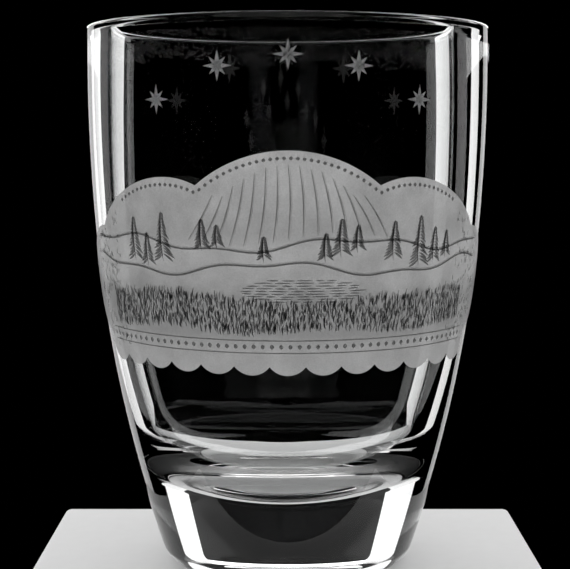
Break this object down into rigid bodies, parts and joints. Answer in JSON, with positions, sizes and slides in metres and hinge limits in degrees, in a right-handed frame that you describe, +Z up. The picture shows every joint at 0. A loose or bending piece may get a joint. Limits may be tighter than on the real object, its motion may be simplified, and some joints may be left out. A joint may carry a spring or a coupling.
{
  "type": "whiskey tumbler",
  "caption": "Thick-walled drinking tumbler of clear glass with a tapered body, heavy base and a matte-ground landscape frieze.",
  "frame": {"origin": "centre of the foot, on the surface the glass stands on", "axes": "+Z up along the glass's axis; -Y towards the decorated front"},
  "size_m": [0.08, 0.08, 0.1084],
  "materials": {
    "clear_glass": "clear, fire-polished",
    "frosted_glass": "matte, wheel-ground"
  },
  "bodies": {
    "root": {"tumbler_body": "clear_glass", "frosted_frieze": "frosted_glass"}
  },
  "joints": []
}
